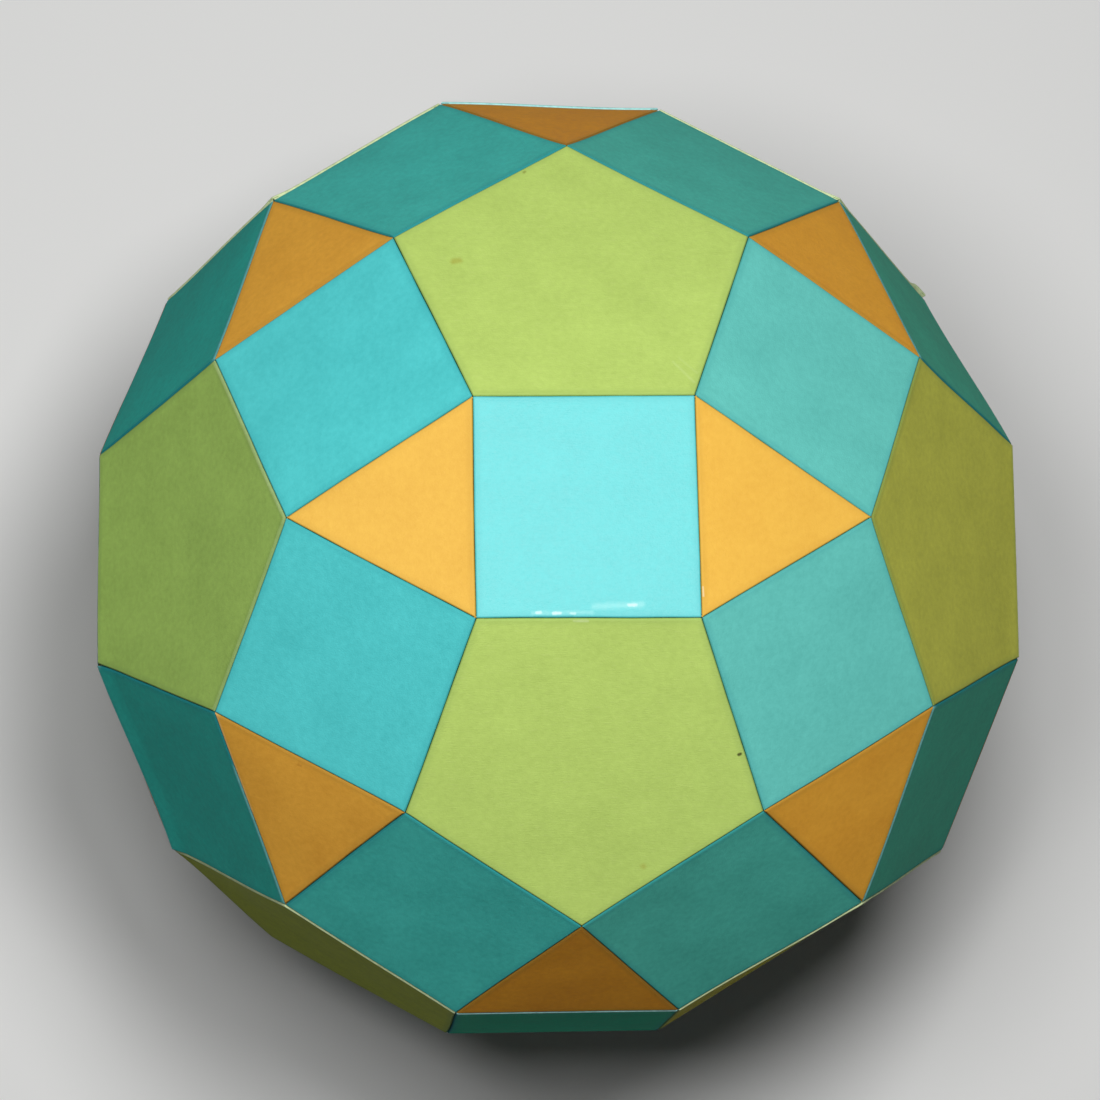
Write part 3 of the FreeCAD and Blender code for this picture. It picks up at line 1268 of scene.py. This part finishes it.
class MarkPlaces(Enum):
    """The stains, specks, scratches and glue that the photograph shows, with painted sheen and glints of
    light on the glue, and painted shade beside the glue and in a crease.
    """

    STAIN = MarkPlace(PENTAGON, (454.0, 261.5), (458.5, 261.0), 12.0, (0.38, 0.34, 0.04), 0.55, 0.95)
    SPECK = MarkPlace(PENTAGON, (738.7, 754.2), (740.3, 753.8), 4.4, (0.05, 0.05, 0.01), 0.90, 0.7)
    FAINT_SPOT = MarkPlace(PENTAGON, (643.0, 866.0), (643.5, 867.0), 9.0, (0.38, 0.32, 0.04), 0.40, 0.9)
    CRUMB = MarkPlace(PENTAGON, (524.0, 171.5), (525.0, 171.0), 5.0, (0.20, 0.18, 0.02), 0.60, 0.8)
    EDGE_CRUMB = MarkPlace(PENTAGON, (519.0, 169.0), (526.0, 166.0), 4.0, (0.08, 0.10, 0.03), 0.55, 0.7)
    SCRATCH = MarkPlace(PENTAGON, (673.0, 362.0), (694.0, 382.0), 4.5, SCRATCHED_GREEN, 0.22, 0.9)
    LIGHT_SCRATCH = MarkPlace(PENTAGON, (679.0, 358.0), (697.0, 373.0), 3.5, SCRATCHED_GREEN, 0.15, 0.9)
    GREEN_GLUE = MarkPlace(PENTAGON, (574.0, 620.8), (588.0, 620.8), 4.0, (0.72, 0.84, 0.50), 0.40, 0.9)
    EDGE_SPOT = MarkPlace(TRIANGLE, (299.5, 764.0), (301.5, 765.0), 6.5, (0.34, 0.09, 0.01), 0.55, 0.8)
    RUSTY_SPOT = MarkPlace(TRIANGLE, (285.5, 785.5), (286.5, 788.0), 7.0, (0.40, 0.11, 0.01), 0.50, 0.9)
    # A dark line painted where the card is creased: painted shade of the crease.
    CREASE = MarkPlace(TRIANGLE, (653.0, 990.0), (661.0, 1006.0), 2.4, (0.12, 0.06, 0.01), 0.60, 0.8)
    ORANGE_GLUE = MarkPlace(TRIANGLE, (703.0, 587.0), (703.5, 596.0), 3.0, (0.98, 0.84, 0.60), 0.45, 0.9)
    # Glue smears painted pale: partly glue, partly painted sheen.
    SMEAR = MarkPlace(SQUARE, (533.0, 613.0), (592.0, 612.5), 6.5, GLUE_AND_SHEEN_BLUE, 0.25, 0.95)
    SMEAR_ABOVE = MarkPlace(SQUARE, (594.0, 606.5), (642.0, 604.5), 10.0, GLUE_AND_SHEEN_BLUE, 0.30, 0.95)
    GLUE_SHADE = MarkPlace(SQUARE, (534.0, 616.3), (573.0, 616.0), 3.0, (0.03, 0.35, 0.38), 0.35, 0.8)
    # Painted glints: highlights of light on the glue, painted into the card's colour.
    GLINT_LEFT = MarkPlace(SQUARE, (537.0, 613.0), (540.5, 612.5), 5.0, DULL_GLINT, 0.60, 0.9)
    GLINT_MIDDLE = MarkPlace(SQUARE, (553.5, 613.5), (560.5, 613.0), 5.0, BRIGHT_GLINT, 0.60, 0.95)
    GLINT_SMALL = MarkPlace(SQUARE, (571.0, 613.5), (575.0, 613.5), 4.0, DULL_GLINT, 0.45, 0.9)
    GLINT_RIGHT = MarkPlace(SQUARE, (629.0, 605.0), (636.0, 605.0), 5.5, BRIGHT_GLINT, 0.58, 0.95)


@dataclass
class PaperBall:
    """All the sheets of the ball, dressed."""

    ball: BallForm
    view: View
    card: Card = field(default_factory=Card)
    hands: HandMade = field(init=False)

    def __post_init__(self) -> None:
        """Reads off how far each corner in view was glued from its true place."""
        wander = HandMade()
        noise.seed_set(wander.seed)
        pixels = CORNER_PIXELS + HIDDEN_CORNER_PIXELS
        self.hands = HandMade(tuple(self.view.slip_at(pixel, wander) for pixel in pixels))

    def finishes(self) -> dict[Panel, bpy.types.Material]:
        """Makes the three finishes, each with its marks."""
        green = CardFinish("green_card", colour=(0.36, 0.665, 0.197), faded=(0.57, 0.645, 0.114),
                           grime=(1.0, 0.75, 0.25), fold_colour=(0.80, 0.92, 0.52),
                           fibre_colour=(0.62, 0.74, 0.30))
        blue = CardFinish("blue_card", milk=0.06, colour=(0.042, 0.62, 0.71), faded=(0.17, 0.59, 0.515),
                          grime=(0.09, 0.65, 0.38), fold_colour=(0.48, 0.90, 0.86),
                          fibre_colour=(0.20, 0.70, 0.72))
        orange = CardFinish("orange_card", colour=(0.90, 0.50, 0.080), faded=(0.96, 0.475, 0.053),
                            grime=(1.0, 0.57, 0.0), fold_colour=(0.97, 0.66, 0.30),
                            fibre_colour=(0.97, 0.58, 0.16))
        cards = {PENTAGON: green, SQUARE: blue, TRIANGLE: orange}
        marks = {panel: [place.value.mark(self.view) for place in MarkPlaces if place.value.panel is panel]
                 for panel in cards}
        return {panel: card.material(marks[panel]) for panel, card in cards.items()}

    def pieces(self) -> list[SheetPiece]:
        """Lists every node's piece."""
        made = []
        worn = tuple(place.value.fold(self.view) for place in WornPlaces)
        for panel in Panel:
            form = SheetForm(panel, self.ball, self.card)
            normals = self.ball.normals(panel)
            groups = {f"{panel.stem}_{number:02d}": [normal] for number, normal in enumerate(normals, 1)}
            if panel is TRIANGLE:
                groups = {name: group for name, group in groups.items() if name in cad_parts}
                groups["orange_triangles_beside_bottom_square"] = normals[:2]
                groups["orange_triangles_beside_top_square"] = normals[-2:]
            made += [SheetPiece(node, panel, group, form, self.ball, self.hands, worn)
                     for node, group in groups.items()]
        return made

    def build(self) -> None:
        """Builds all the sheets and reports each."""
        finishes = self.finishes()
        surfaces: dict[Panel, bmesh.types.BMesh] = {}
        for piece in self.pieces():
            if piece.panel not in surfaces:
                surfaces[piece.panel] = piece.form.surface()
            made = piece.build(surfaces[piece.panel], finishes[piece.panel])
            LOG.info("%s: %d faces", made.name, len(made.data.polygons))
        for surface in surfaces.values():
            surface.free()


def main() -> None:
    """Builds the studio and the ball."""
    logging.basicConfig(level=logging.INFO, format="%(name)s: %(message)s")
    cad_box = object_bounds()
    ball = BallForm.from_box(*cad_box)
    view = View(ball)
    Studio(view).build()
    PaperBall(ball, view).build()


if __name__ == "__main__":
    main()
